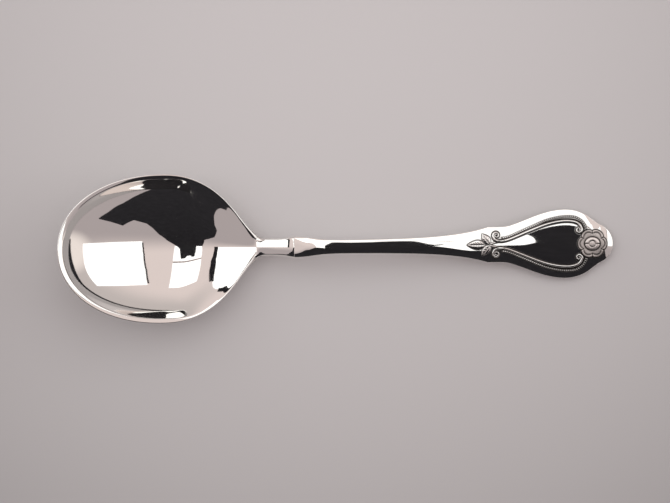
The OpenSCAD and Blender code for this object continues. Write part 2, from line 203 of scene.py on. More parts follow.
class SpoonStage(bpy.types.PropertyGroup):
    """Camera and lamps."""

    camera_far: length("Camera distance", "Distance from the camera to the spoon", 1400)
    camera_tilt: angle("Camera tilt", "Lean of the camera towards the far side, from overhead", 2)
    camera_turn: angle("Camera turn", "Turn of the picture", -0.578)
    aim: FloatVectorProperty(
        name="Aim", description="Place that the camera aims at", default=(-0.001, -0.0019, 0.008), unit="LENGTH"
    )
    lens: FloatProperty(name="Lens", description="Focal length", default=198.2, unit="CAMERA")
    panel_glow: FloatProperty(name="Panel glow", description="Radiance of the white panels", default=1.35)
    panel_far: length("Panel distance", "Distance of the white panels from the bowl", 5000)
    drape_far: length("Drape distance", "Distance of the drape and the bars from the bowl", 3200)


# Shared curves


def mix(a, b, t):
    """Straight blend from a at t = 0 to b at t = 1."""
    return a + (b - a) * t


def ease(t):
    """Smooth step from 0 to 1."""
    t = np.clip(t, 0, 1)
    return t * t * (3 - 2 * t)


def smooth_max(a, b, k):
    """The larger of a and b, rounded by a parabola where they are within k of each other."""
    return np.maximum(a, b) + np.maximum(k - np.abs(a - b), 0) ** 2 / (4 * k)


def signed_power(base, power):
    """Power that keeps the sign of its base."""
    return np.sign(base) * np.abs(base) ** power


def corner(e, r):
    """Drop of a quarter-round corner of radius r at the distance e inside the edge."""
    return r * (1 - half_round(np.maximum(1 - e / r, 0)))


def half_round(t):
    """Half circle: sqrt(1 - t^2), and 0 past its ends."""
    return np.sqrt(np.maximum(1 - t * t, 0))


def bump(t):
    """Bell that is 1 at t = 0 and falls off as exp(-t^2)."""
    return np.exp(-t * t)


TIP_POWER, SHOULDER_POWER, SHOULDER_EASE = 2.1, 2.3, 0.9
TAIL_FROM, TAIL_SPREAD, TAIL_RAMP, TAIL_SOFT = 0.2, 0.6, 0.5, 0.3
NECK_BLEND, CROWN_RUN, CROWN_EASE, SWEEP_BACK = 14, 2.14, 4.5, 1
LAND_RUN, SHIELD_FROM, SHIELD_OVER, LOBE_BLEND, WAIST_BLEND = 22, 60, 40, 2, 0.6


def in_mm(group):
    """A group's numbers by name, with lengths in millimetres."""
    found = {}
    for key, prop in group.bl_rna.properties.items():
        if prop.type == "FLOAT" and not prop.is_array:
            found[key] = getattr(group, key) / (MM if prop.unit == "LENGTH" else 1)
    return found


def spoon_sizes():
    """All sizes in millimetres, and the places and heights that follow from them."""
    scene = bpy.context.scene
    s = SimpleNamespace(**in_mm(scene.spoon_bowl), **in_mm(scene.spoon_handle), **in_mm(scene.spoon_ornament))
    s.shoulders_u = s.bowl_front + s.bowl_back
    s.joint_u = s.shoulders_u + s.neck_len
    s.mouth_u = s.joint_u + s.fit_gap
    s.arch_u = s.joint_u + s.arch_at
    s.touch_u = s.overall_len - s.touch_at
    s.lobe_u = s.overall_len - s.lobe_r
    s.sweep_u = s.shoulders_u - SWEEP_BACK
    s.rim_fall = np.tan(s.rim_pitch)
    u = np.arange(s.bowl_front, s.sweep_u, 0.25)
    s.rim_z = (belly(s, u, 0, 0) + s.rim_fall * (u - s.bowl_front)).max() - s.wear_flat
    return s


# Bowl


def cap(s, r):
    """Round cap: 1 at r = 0 and 0 at r = 1, a slice of a sphere with the hollow's slope at its rim."""
    k = 1 / np.sin(s.hollow_steepness)
    low = np.sqrt(k * k - 1)
    return (np.sqrt(k * k - np.minimum(r, 1) ** 2) - low) / (k - low)


def oval_half(s, u, inset):
    """Half-width of the bowl's oval: a superellipse to the tip, an eased power curve to the shoulders."""
    half = s.bowl_w / 2 - inset
    front = np.maximum(s.bowl_front - u, 0) / (s.bowl_front - inset)
    back = np.maximum(u - s.bowl_front, 0) / (s.bowl_back - inset)
    tip = half * np.maximum(1 - front**TIP_POWER, 0) ** (1 / TIP_POWER)
    return np.where(u < s.bowl_front, tip, half * signed_power(1 - back**SHOULDER_POWER, SHOULDER_EASE))


def bowl_half(s, u):
    """Half-width of the bowl and neck: the oval, joined to the flaring neck by a fillet."""
    neck = mix(s.neck_w, s.collar_w, bump((s.joint_u - u) / s.collar_flare)) / 2
    return np.where(u < s.bowl_front, oval_half(s, u, 0), smooth_max(oval_half(s, u, 0), neck, s.neck_fillet))


def inner_half(s, u, inset):
    """Half-width of the bowl inside a margin."""
    return np.maximum(np.where(u < s.bowl_front, oval_half(s, u, inset), bowl_half(s, u) - inset), 0.001)


def tail_side(w):
    """Section of the hollow's tail: a hyperbola from 1 on the axis to 0 at the edge."""
    return 1 - (np.hypot(w, TAIL_SOFT) - TAIL_SOFT) / (np.hypot(1, TAIL_SOFT) - TAIL_SOFT)


def dish(s, u, y, inset):
    """Depth of a dished shape as a share: a round cap that runs out in a straighter tail towards the neck.

    With q the share of the way along from the widest place and w the share across, the cap takes
    r = sqrt(q^2 + w^2 (1 - q^2)) and the tail is 1 - q^2 times its section. The tail comes in by a smooth step
    of q, sooner at the sides.
    """
    reach = np.where(u < s.bowl_front, s.bowl_front, s.bowl_back) - inset
    q = np.minimum(np.abs(u - s.bowl_front) / reach, 1)
    w = np.minimum(y / inner_half(s, u, inset), 1)
    round_cap = cap(s, np.sqrt(q * q + w * w * (1 - q * q)))
    tail = ease((q - TAIL_FROM) / (1 - TAIL_FROM) + TAIL_SPREAD * w * w * ease(q / TAIL_RAMP))
    return np.where(u < s.bowl_front, round_cap, mix(round_cap, (1 - q * q) * tail_side(w), tail))


def land_w(s, u):
    """Width of the land, narrowing by a smooth step from the widest place towards the neck."""
    return mix(s.rim_land, s.land_back, ease((u - s.bowl_front) / LAND_RUN))


def belly(s, u, y, v):
    """Depth of the underside below the rim line: the bowl's dish, joined to the neck's rounded underside."""
    bowl = s.rim_edge + (s.bowl_depth + s.bowl_wall - s.rim_edge) * dish(s, u, y, 0)
    neck = s.rim_edge + s.neck_belly * neck_share(s, u) * (1 - v * v)
    return smooth_max(bowl, neck, s.neck_belly)


def neck_share(s, u):
    """0 in the bowl and 1 on the neck."""
    return ease((u - s.shoulders_u + NECK_BLEND) / NECK_BLEND)


def seam_z(s, u):
    """Height of the handle's seam: a quarter sine up to the arch, then half a cosine down to the table."""
    up = mix(s.mouth_height, s.arch_height, np.sin(np.pi / 2 * (u - s.joint_u) / s.arch_at))
    t = np.minimum((u - s.arch_u) / (s.touch_u - s.arch_u), 1)
    down = mix(s.back_shield, s.arch_height, (1 + np.cos(np.pi * t)) / 2)
    return np.where(u < s.arch_u, up, down)


def axis_z(s, u):
    """Height of the rim line: a straight slope, then a cubic sweep that meets the seam with its own slope."""
    rim = s.rim_z - s.rim_fall * (u - s.bowl_front)
    start = s.rim_z - s.rim_fall * (s.sweep_u - s.bowl_front)
    span = s.joint_u - s.sweep_u
    t = (u - s.sweep_u) / span
    fall = -s.rim_fall * span
    climb = (s.arch_height - s.mouth_height) * np.pi / 2 / s.arch_at * span
    drop = start - s.mouth_height
    sweep = start + fall * t + (-3 * drop - 2 * fall - climb) * t**2 + (2 * drop + fall + climb) * t**3
    return np.where(u < s.sweep_u, rim, np.where(u < s.joint_u, sweep, seam_z(s, u)))


EDGE_STEPS = np.array([0, 0.03, 0.08, 0.15, 0.24, 0.34, 0.45, 0.7, 1.0, 1.2, 1.35, 1.5, 1.65, 1.8, 2.0, 2.25])
BOWL_SPREAD = np.arange(1, 45) / 44
TIP_ROWS, BACK_ROWS, TANG_ROWS = 90, 150, 12
FAN_SHARE = 0.62
# Most of the way to the spine that the columns along an edge may take
EDGE_MOST = 0.8
TANG_TAPER, TANG_FLAT = 0.3, 0.3


def lines_inward(edge, spine, steps, spread):
    """Points on straight lines from edge points to spine points.

    The first columns lie at the given distances inside the edge, measured square to it, and the others at the
    given shares of the way on to the spine. Returns the points, their distance from the edge, and their share v
    of the way back from the spine, 1 to 0.
    """
    reach = spine - edge
    full = np.linalg.norm(reach, axis=1)
    way = reach / full[:, None]
    run = np.gradient(edge, axis=0)
    run /= np.linalg.norm(run, axis=1)[:, None]
    square = np.abs(way[:, 0] * run[:, 1] - way[:, 1] * run[:, 0])
    first = np.minimum(steps / square[:, None], full[:, None] * EDGE_MOST * steps / steps[-1])
    rest = mix(first[:, -1:], full[:, None], spread)
    along = np.concatenate([first, rest], axis=1)
    share_left = np.maximum(1 - along / full[:, None], 0)
    return edge[:, None] + way[:, None] * along[..., None], along * square[:, None], share_left


def bowl_surface(s):
    """Top and underside of the bowl, neck and tang on lines from the rim to the middle.

    Top: rim line, plus the neck's crowned section, less the hollow's dish and the land's lean, with a soft
    corner between those two and a quarter-round corner at the rim. Past the shoulders the crown comes in as
    1 - exp(-t) on the axis and, more gently, as 1 - exp(-t^2) at the sides. Underside: rim line less the belly,
    with the same corner, cut off at the table.
    """
    a = np.linspace(0, np.pi / 2, TIP_ROWS + 1)[:-1]
    c, d = np.cos(a) ** (2 / TIP_POWER), np.sin(a) ** (2 / TIP_POWER)
    back = np.linspace(s.bowl_front, s.joint_u, BACK_ROWS)
    edge = np.concatenate(
        [
            np.stack([s.bowl_front * (1 - c), s.bowl_w / 2 * d], 1),
            np.stack([back, bowl_half(s, back)], 1),
        ]
    )
    spine_u = np.concatenate([mix(s.bowl_front, s.bowl_front * FAN_SHARE, np.cos(a)), back])
    spine = np.stack([spine_u, 0 * spine_u], 1)
    plan, e, v = lines_inward(edge, spine, EDGE_STEPS, BOWL_SPREAD)
    u, y = plan[..., 0], plan[..., 1]
    land = land_w(s, u)
    hollow = s.bowl_depth * dish(s, u, y, land)
    outside = np.where(u < s.bowl_front, land - e, y - inner_half(s, u, land))
    signed = np.where(hollow > 0, hollow, -np.maximum(outside, 0))
    hollow = (signed + np.sqrt(signed**2 + s.land_round**2)) / 2
    past = np.maximum(u - s.shoulders_u + s.land_back, 0)
    risen = mix(1 - bump(past / CROWN_EASE), 1 - np.exp(-past / CROWN_RUN), tail_side(v))
    crown = risen * section(s.neck_side, s.neck_crest - s.neck_side, v, 2)
    rounding = corner(e, mix(s.rim_round, s.neck_round, neck_share(s, u)))
    lean = np.tan(s.land_lean) * np.minimum(e, land) * (1 - neck_share(s, u))
    line = axis_z(s, u)
    top = np.stack([u, y, line + crown - hollow - lean - rounding], -1)
    under = np.stack([u, y, np.maximum(line - belly(s, u, y, v) + rounding, 0)], -1)
    tang_top, tang_under = tang_surface(s, top.shape[1])
    return np.concatenate([top, tang_top]), np.concatenate([under, tang_under])


def tang_surface(s, columns):
    """Top and underside of the tang: a bar that tapers in width, with faces rounded as 1 - v^2."""
    u = np.linspace(s.joint_u, s.joint_u + s.tang_len, TANG_ROWS)[:, None]
    v = np.linspace(1, 0, columns)[None]
    y = s.tang_w / 2 * (1 - TANG_TAPER * (u - s.joint_u) / s.tang_len) * v
    bulge = s.tang_high / 2 * mix(TANG_FLAT, 1, 1 - v * v) + 0 * u
    mid = axis_z(s, u) - s.tang_drop
    u = u + 0 * v
    return np.stack([u, y, mid + bulge], -1), np.stack([u, y, mid - bulge], -1)


# Handle


def handle_half(s, u):
    """Half-width of the handle.

    Near the end: an elliptic shield joined to a round lobe. Beyond it: a squared cosine from the shield down to
    the waist, joined to a stem that swells exponentially to its shoulder, plus a bell at the mouth.
    """
    d = s.overall_len - u
    lobe = s.lobe_r * half_round(1 - d / s.lobe_r)
    shield = s.shield_w / 2 * half_round((s.shield_at - d) / s.shield_turn)
    t = (d - s.shield_at) / (s.shoulder_at - s.shield_at)
    waist = mix(s.waist_w, s.shield_w, np.cos(np.pi / 2 * np.clip(t, 0, 1)) ** 2) / 2
    waist = np.where(t < 1, waist, s.waist_w / 2 * (2 - t))
    stem = mix(s.stem_w, s.shoulder_w, np.minimum(np.exp((s.shoulder_at - d) / s.stem_swell), 1)) / 2
    mouth = (s.mouth_w - s.stem_w) / 2 * bump((u - s.joint_u) / s.mouth_flare)
    near_end = smooth_max(shield, lobe, LOBE_BLEND)
    return np.where(d < s.shield_at, near_end, smooth_max(waist, stem, WAIST_BLEND) + mouth)


BACK_POWER, MOUTH_POWER, NOSE_POWER, STEM_POWER, SHIELD_POWER, SIDE_POWER = 2.4, 5, 2.3, 4.5, 2, 12
NOSE_OVER, FLAT_FROM, FLAT_OVER, ROUND_FROM, ROUND_OVER, SWELL_OVER = 5.5, 8.5, 7, 37, 24, 45


def front_power(s, u):
    """Power of the front's section, from the mouth on: flat, round, flat on the stem, round on the shield."""
    past = u - s.joint_u
    behind = mix(MOUTH_POWER, NOSE_POWER, ease(past / NOSE_OVER))
    stem = mix(behind, STEM_POWER, ease((past - FLAT_FROM) / FLAT_OVER))
    return mix(stem, SHIELD_POWER, ease((past - ROUND_FROM) / ROUND_OVER))


def front_crown(s, u):
    """Height of the front's rounded top over its upright side, blended in the same way."""
    past = u - s.joint_u
    stem = mix(s.crown_mouth, s.crown_stem, ease((past - FLAT_FROM) / FLAT_OVER))
    return mix(stem, s.crown_shield, ease((past - ROUND_FROM) / SWELL_OVER))


def nose(s, u):
    """Drop of the front's crest towards the mouth: a parabola."""
    return s.nose_drop * np.maximum(1 - (u - s.joint_u) / s.nose_len, 0) ** 2


def shell_rise(s, u, stem, shield):
    """Height of a shell over the seam: from the stem's to the shield's by a smooth step."""
    return mix(stem, shield, ease((u - s.joint_u - SHIELD_FROM) / SHIELD_OVER))


def section(side, top, v, power):
    """Crowned section: an upright side, then a top of 1 - v^power."""
    return side + top * (1 - v**power)


SHELL_STEPS = np.array([0, 0.03, 0.08, 0.15, 0.24, 0.34, 0.5])
# Shares of the way from the edge to the spine, closer together over the scrolled border
FRONT_SPREAD = np.interp(np.arange(1, 71) / 70, [0, 0.15, 0.62, 1], [0, 0.13, 0.5, 1])
BACK_SPREAD, INNER_SPREAD = np.arange(1, 25) / 24, np.arange(1, 7) / 6
LOBE_ROWS, LOBE_FAN = 80, 0.25
# Stretches of the handle from the lobe to the mouth: where each ends, and the step of its rows
HANDLE_RUNS = [(168, 0.12), (153, 0.16), (98, 0.8), (88, 0.25)]


def handle_rows(s):
    """Edge and spine points of the handle's lines, fanned round the lobe and then square to the axis."""
    a = np.linspace(0, np.pi / 2, LOBE_ROWS + 1)[:-1]
    places, start = [], s.lobe_u
    for stop, step in HANDLE_RUNS:
        stop = max(stop, s.mouth_u)
        places.append(np.linspace(start, stop, int((start - stop) / step) + 1)[:-1])
        start = stop
    back = np.concatenate([*places, [s.mouth_u]])
    edge_u = np.concatenate([s.lobe_u + s.lobe_r * np.cos(a), back])
    spine_u = np.concatenate([s.lobe_u + s.lobe_r * LOBE_FAN * np.cos(a), back])
    edge = np.stack([edge_u, handle_half(s, edge_u)], 1)
    return edge, np.stack([spine_u, 0 * spine_u], 1)


def handle_surface(s, stem, shield, side, spread, relief=None):
    """Outer and inner surface of one shell, side 1 for the front and -1 for the back.

    Outer: seam height plus or minus the crowned section, dropping towards the mouth on the front, plus the
    relief. Inner: the same section with its wall taken off.
    """
    edge, spine = handle_rows(s)
    plan, e, v = lines_inward(edge, spine, SHELL_STEPS, spread)
    u, y = plan[..., 0], plan[..., 1]
    rise = shell_rise(s, u, stem, shield)
    marks = {}
    if side > 0:
        top = front_crown(s, u)
        high = section(rise - nose(s, u) - top, top, v, front_power(s, u))
        lift, marks = relief(s, u, y)
        high = high + lift
    else:
        high = section(s.seam_edge, rise - s.seam_edge, v, BACK_POWER)
    high = high - corner(e, s.seam_round)
    outer_z = seam_z(s, u) + side * high
    outer = np.stack([u, y, np.maximum(outer_z, 0)], -1)
    inner_plan, _, t = lines_inward(edge, spine, np.array([0, s.shell_wall]), INNER_SPREAD)
    iu, iy = inner_plan[..., 0], inner_plan[..., 1]
    t = np.minimum(t / t[:, 1:2], 1)
    room = shell_rise(s, iu, stem, shield) - s.shell_wall
    if side > 0:
        room = room - nose(s, iu)
        upright = np.maximum(room - front_crown(s, iu), 0)
        room = upright * (1 - t**SIDE_POWER) + (room - upright) * (1 - t ** front_power(s, iu))
    else:
        room = room * (1 - t**BACK_POWER)
    inner = np.stack([iu, iy, seam_z(s, iu) + side * room], -1)
    return outer, inner, marks


# Ornament on the front of the handle


def smooth_path(points, count):
    """Smooth path through the points: a Catmull-Rom spline at even steps of its own parameter."""
    p = np.array(points, float)
    p = np.concatenate([2 * p[:1] - p[1:2], p, 2 * p[-1:] - p[-2:-1]])
    t = np.linspace(0, len(p) - 3 - 1e-9, count)
    i = t.astype(int)
    f = (t - i)[:, None]
    a, b, c, d = p[i], p[i + 1], p[i + 2], p[i + 3]
    return 0.5 * (2 * b + (c - a) * f + (2 * a - 5 * b + 4 * c - d) * f**2 + (3 * b - 3 * c + d - a) * f**3)


def spiral(centre, start, turns, end_share, count):
    """Spiral from a start point round a centre, its radius shrinking evenly to a share of itself."""
    centre, start = np.array(centre, float), np.array(start, float)
    t = np.linspace(0, 1, count)
    out = start - centre
    radius = np.linalg.norm(out) * mix(1, end_share, t)
    angles = np.arctan2(out[1], out[0]) + 2 * np.pi * turns * t
    return centre + np.stack([radius * np.cos(angles), radius * np.sin(angles)], 1)


RIB = [
    (164.1, 3.2), (164.75, 2.0), (166.2, 1.45), (168, 1.45), (170.4, 2.05), (174.2, 3.55), (178.4, 5.25),
    (184.5, 7.45), (190.2, 8.6), (194.6, 8.5), (197.1, 7.4), (198.1, 5.7),
]  # fmt: skip
LEAF_VOLUTE, ROSE_VOLUTE = (165.3, 3.6), (196.9, 5.3)
BEADS = [
    (167.6, 2.55), (170.2, 3.05), (174.2, 4.75), (178.4, 6.55), (184.5, 9.0), (190.2, 10.25), (194.8, 10.25),
    (197.6, 9.0), (199.3, 6.9), (199.7, 4.9), (198.7, 3.4),
]  # fmt: skip
LEAVES = [((161, 0), (154.1, 0), 1.8), ((162.8, 0.35), (159.75, 4.2), 1.5)]
STEM = [(163.2, 0.35), (164.6, 0.75), (166.4, 1.1), (168, 1.4)]
# Place dressed flat round the leaves: its half-width, where it starts, the length over which it widens, its end
LEAF_FLAT, FLAT_START, FLAT_RUN, FLAT_STOP, FLAT_CLOSE = 2.3, 138, 20, 164, 3
# Ribs: share of the width at their ends, and the length over which they taper
RIB_END, RIB_TAPER = 0.5, 9
# Where the channel between rib and beads and the painted shade on it and on the beads begin, and how fast they
# come in
CHANNEL_FROM, CHANNEL_RUN, BEAD_SHADE_FROM, BEAD_SHADE_RUN = 177, 7, 178, 8


def along_path(u, y, path):
    """Distance from each place to a path of straight steps, how far along that is, and the path's length."""
    step = np.diff(path, axis=0)
    size = np.linalg.norm(step, axis=1)
    start = np.concatenate([[0], np.cumsum(size)])
    near = np.full(u.shape, 1e9)
    where = np.zeros(u.shape)
    for p, q, n, s0 in zip(path, step, size, start):
        f = np.clip(((u - p[0]) * q[0] + (y - p[1]) * q[1]) / (n * n), 0, 1)
        d = np.hypot(u - p[0] - f * q[0], y - p[1] - f * q[1])
        closer = d < near
        near = np.where(closer, d, near)
        where = np.where(closer, s0 + f * n, where)
    return near, where, start[-1]


def leaf_relief(s, u, y, base, tip, half):
    """One veined leaf: a dome over a pointed outline, fullest near the base, cut by a midrib and side veins.

    A chased line follows the outline. Returns the height, the patina mark and the frost mark.
    """
    base, tip = np.array(base, float), np.array(tip, float)
    way = tip - base
    size = np.linalg.norm(way)
    along = ((u - base[0]) * way[0] + (y - base[1]) * way[1]) / size**2
    across = np.abs((u - base[0]) * way[1] - (y - base[1]) * way[0]) / size
    width = half * np.sin(np.pi * np.clip(along, 0, 1) ** 0.75) ** 0.8
    w = across / np.maximum(width, 0.02)
    inside = (along > 0) & (along < 1) & (w < 1)
    midrib = bump(across / 0.2) * (along < 0.8)
    veins = bump(np.sin(np.pi * (along * size / 0.95 - across / 0.9)) / 0.35) * ease(w * 4) * (1 - w)
    high = s.leaf_high * (1 - np.clip(w, 0, 1) ** 3) * (0.65 + 0.35 * w) - 0.1 * midrib - 0.08 * veins
    edge = bump((across - width - 0.05) / 0.24) * ease((along + 0.06) / 0.06) * ease((1.05 - along) / 0.05)
    dark = np.where(inside, np.maximum(np.maximum(0.6 * midrib, 0.45 * veins), edge), edge)
    return np.where(inside, high, 0), dark, np.where(inside, 0.12, 0)


def rose_relief(s, u, y):
    """Rose: a bud, an oval ring of two petals and a scalloped ring of six, each dished with a raised lip.

    Chased lines run round the bud and the rings and between the petals.
    """
    cu = s.overall_len - s.rose_at
    r = np.hypot(u - cu, y)
    a = np.arctan2(y, u - cu)
    scallop = np.abs(np.cos(3 * a))
    outer_r = s.rose_r * (0.86 + 0.14 * scallop**0.6)
    bud_r, ring_r = 0.19 * s.rose_r, s.rose_r * (0.475 + 0.035 * np.cos(2 * a))
    bud = np.where(r < bud_r, 0.75 + 0.12 * half_round(r / bud_r), 0)
    t = np.clip((r - bud_r) / (ring_r - bud_r), 0, 1)
    ring = np.where((r >= bud_r) & (r < ring_r), 0.5 + 0.3 * np.sin(np.pi * t**0.8), 0)
    t = np.clip((r - ring_r) / (outer_r - ring_r), 0, 1)
    petals = np.where((r >= ring_r) & (r < outer_r), 0.2 + 0.36 * t**1.3 - 0.14 * bump((t - 1) / 0.12), 0)
    ring_gap = bump(np.abs(y) / 0.2) * (r > bud_r * 1.3) * (r < ring_r)
    petal_gap = bump(np.cos(3 * a) * r / 3 / 0.22) * ease((t - 0.3) / 0.3) * (r < outer_r)
    lip = bump((t - 0.5 - 0.2 * scallop) / 0.13) * ease(scallop * 2) * (r >= ring_r) * (r < outer_r)
    high = bud + ring + petals - 0.25 * ring_gap - 0.2 * petal_gap - 0.12 * lip
    open_side = 0.35 + 0.65 * np.abs(np.sin(a))
    lines = bump((r - bud_r - 0.12) / 0.24) * open_side + bump((r - ring_r - 0.12) / 0.26)
    lines = lines + 1.2 * bump((r - outer_r - 0.05) / 0.26)
    # Darker towards the inner part of each petal
    hollow = 0.35 * (1 - t) * (r >= ring_r)
    dark = np.clip(lines + ring_gap + petal_gap + 0.8 * lip + hollow * (r < outer_r), 0, 1)
    inside = r < outer_r
    return np.where(inside, s.rose_high * high, 0), dark, np.where(inside, 1.0, 0)


def front_relief(s, u, y):
    """Height of the whole ornament, with marks for patina in its recesses, for painted shade, and for its
    frosted parts.

    Ribs are half-round over a path with tapering spiral ends, with a thin chased line on both sides. Beads are
    half balls at even steps along theirs in a shallow dip, and a channel painted dark as shade lies between the
    two; the beads further along are painted darker as shade too. Round the leaves the crown is dressed flat: a
    parabola takes off what it rises there.
    """
    high, dark, frost = np.zeros((3, *u.shape))
    zone = u > FLAT_START
    zu, zy = u[zone], y[zone]
    first = spiral(LEAF_VOLUTE, RIB[0], -1.35, 0.3, 40)[::-1]
    last = spiral(ROSE_VOLUTE, RIB[-1], -1.25, 0.25, 40)
    near, where, total = along_path(zu, zy, np.concatenate([first[:-1], smooth_path(RIB, 130), last[1:]]))
    half = s.rib_w * mix(RIB_END, 1, ease(np.minimum(where, total - where) / RIB_TAPER))
    z_high = s.rib_high * half / s.rib_w * half_round(near / half)
    line = bump((near - half - 0.15) / 0.22)
    z_high, z_dark = z_high - s.groove * line, 1.5 * line
    beside = ease((near - 0.42) / 0.12) * ease((1.2 - near) / 0.2)
    near, where, total = along_path(zu, zy, smooth_path(BEADS, 130))
    # Channel between rib and beads: a shallow dip, painted dark as shade from CHANNEL_FROM on
    channel_and_painted_shade = beside * ease((1.25 - near) / 0.2) * ease((zu - CHANNEL_FROM) / CHANNEL_RUN)
    pitch = total / round(total / s.bead_pitch)
    ahead = (where / pitch) % 1 - 0.5
    ball = half_round(np.hypot(2.1 * near / s.bead_pitch, 2.4 * ahead))
    row = bump(near / (0.6 * s.bead_pitch))
    z_high = z_high + s.bead_high * ball - 0.06 * row - 0.12 * channel_and_painted_shade
    # Dark between the beads as patina, and the beads further along painted darker as shade
    dull = 1.3 * (1 - ball) + 0.3 * ease((zu - BEAD_SHADE_FROM) / BEAD_SHADE_RUN)
    z_dark = np.maximum(np.maximum(z_dark, row * dull), channel_and_painted_shade)
    near, _, _ = along_path(zu, zy, smooth_path(STEM, 30))
    z_high = np.maximum(z_high, 0.3 * half_round(near / 0.3))
    z_dark = np.maximum(z_dark, 0.8 * bump((near - 0.4) / 0.16))
    z_frost = np.zeros(zu.shape)
    for base, tip, width in LEAVES:
        h, k, f = leaf_relief(s, zu, zy, base, tip, width)
        z_high = np.where(f > 0, np.maximum(h, z_high), z_high)
        z_dark = np.where(f > 0, k, np.maximum(z_dark, k))
        z_frost = np.maximum(z_frost, f)
    h, k, f = rose_relief(s, zu, zy)
    z_high = np.where(f > 0, h, z_high)
    z_dark = np.where(f > 0, k, np.maximum(z_dark, k))
    flat = LEAF_FLAT * ease((zu - FLAT_START) / FLAT_RUN) * ease((FLAT_STOP - zu) / FLAT_CLOSE)
    z_high = z_high - front_crown(s, zu) * np.maximum(flat**2 - zy**2, 0) / handle_half(s, zu) ** 2
    high[zone], dark[zone], frost[zone] = z_high, np.clip(z_dark, 0, 1), np.maximum(z_frost, f)
    # The dark mark goes to the patina attribute: patina in the chased lines, painted shade in the channel and
    # on the far beads
    return high, {"patina": dark, "frost": frost}


# Meshes

# Faces that meet more sharply than this keep a hard edge between them
SHARP_ANGLE = np.radians(50)


def grid_quads(index):
    """Corners of the quads between the points of a grid."""
    return np.stack([index[:-1, :-1], index[:-1, 1:], index[1:, 1:], index[1:, :-1]], -1).reshape(-1, 4)


def new_object(name, points, faces):
    """Object with a smooth mesh over points in metres."""
    mesh = bpy.data.meshes.new(name)
    mesh.from_pydata(points.tolist(), [], faces)
    mesh.shade_smooth()
    made = bpy.data.objects.new(name, mesh)
    bpy.context.scene.collection.objects.link(made)
    return made


def mirrored_piece(name, top, under, middle_u, marks):
    """Closed piece that is the same on both sides of the plane y = 0.

    top and under are grids of points of one half, with as many rows each. Row 0 and the last column lie on
    the plane, column 0 is the edge and the last row the blunt end. Each grid is mirrored, both halves share the
    points on the plane, strips join the two grids along the edge, and one face closes the blunt end.
    """
    forward = top[-1, 0, 0] > top[0, 0, 0]
    points, values, sides, count = [], {key: [] for key in marks}, [], 0
    for grid, marked in ((top, True), (under, False)):
        n, m = grid.shape[:2]
        right = count + np.arange(n * m).reshape(n, m)
        left = right + n * m
        left[0], left[:, -1] = right[0], right[:, -1]
        count += 2 * n * m
        flat = grid.reshape(-1, 3)
        points += [flat, flat * (1, -1, 1)]
        for key, value in marks.items():
            half = value.ravel() if marked else np.zeros(n * m)
            values[key] += [half, half]
        sides.append((right, left))
    (top_r, top_l), (low_r, low_l) = sides

    def strip(a, b):
        return np.stack([a[:-1, 0], a[1:, 0], b[1:, 0], b[:-1, 0]], -1)

    quads = [grid_quads(top_r), grid_quads(top_l)[:, ::-1], grid_quads(low_r)[:, ::-1], grid_quads(low_l)]
    quads += [strip(top_r, low_r), strip(top_l, low_l)[:, ::-1]]
    quads = np.concatenate(quads)
    end = np.concatenate([top_r[-1], top_l[-1, -2::-1], low_l[-1], low_r[-1, -2::-1]])
    if not forward:
        quads, end = quads[:, ::-1], end[::-1]
    used, loops = np.unique(np.concatenate([quads.ravel(), end]), return_inverse=True)
    xyz = (np.concatenate(points)[used] - (middle_u, 0, 0)) * MM
    faces = [*loops[: quads.size].reshape(-1, 4).tolist(), loops[quads.size :].tolist()]
    piece = new_object(name, xyz, faces)
    for key, value in values.items():
        kept = np.concatenate(value)[used].astype(np.float32)
        piece.data.attributes.new(key, "FLOAT", "POINT").data.foreach_set("value", kept)
    piece.data.validate()
    piece.data.set_sharp_from_angle(angle=SHARP_ANGLE)
    return piece


def dress(piece, node, material):
    """Gives a piece its finish and lets it stand for its solid part."""
    piece.data.materials.append(material)
    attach(piece, BODY)
    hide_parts(node)


# Finishes


def add(tree, kind, settings=None, links=None):
    """Adds a node. Settings go to its fields or, by name or number, to its inputs. Links feed its inputs."""
    node = tree.nodes.new(kind)
    for key, value in (settings or {}).items():
        if isinstance(key, int) or key in node.inputs:
            node.inputs[key].default_value = value
        else:
            setattr(node, key, value)
    for key, socket in (links or {}).items():
        tree.links.new(socket, node.inputs[key])
    return node


def new_material(name, settings, kind="ShaderNodeBsdfPrincipled"):
    """Node material with one linked surface shader. Returns it, its tree and the shader's inputs."""
    material = bpy.data.materials.new(name)
    material.use_nodes = True
    tree = material.node_tree
    tree.nodes.clear()
    shader = add(tree, kind, settings)
    add(tree, "ShaderNodeOutputMaterial", links={"Surface": shader.outputs[0]})
    return material, tree, shader.inputs


def rgba(colour):
    """RGBA of a colour property."""
    return (*colour, 1.0)


# Roughness of satin, and of patina and the painted shade carried by its mark
SATIN_ROUGH = 0.45


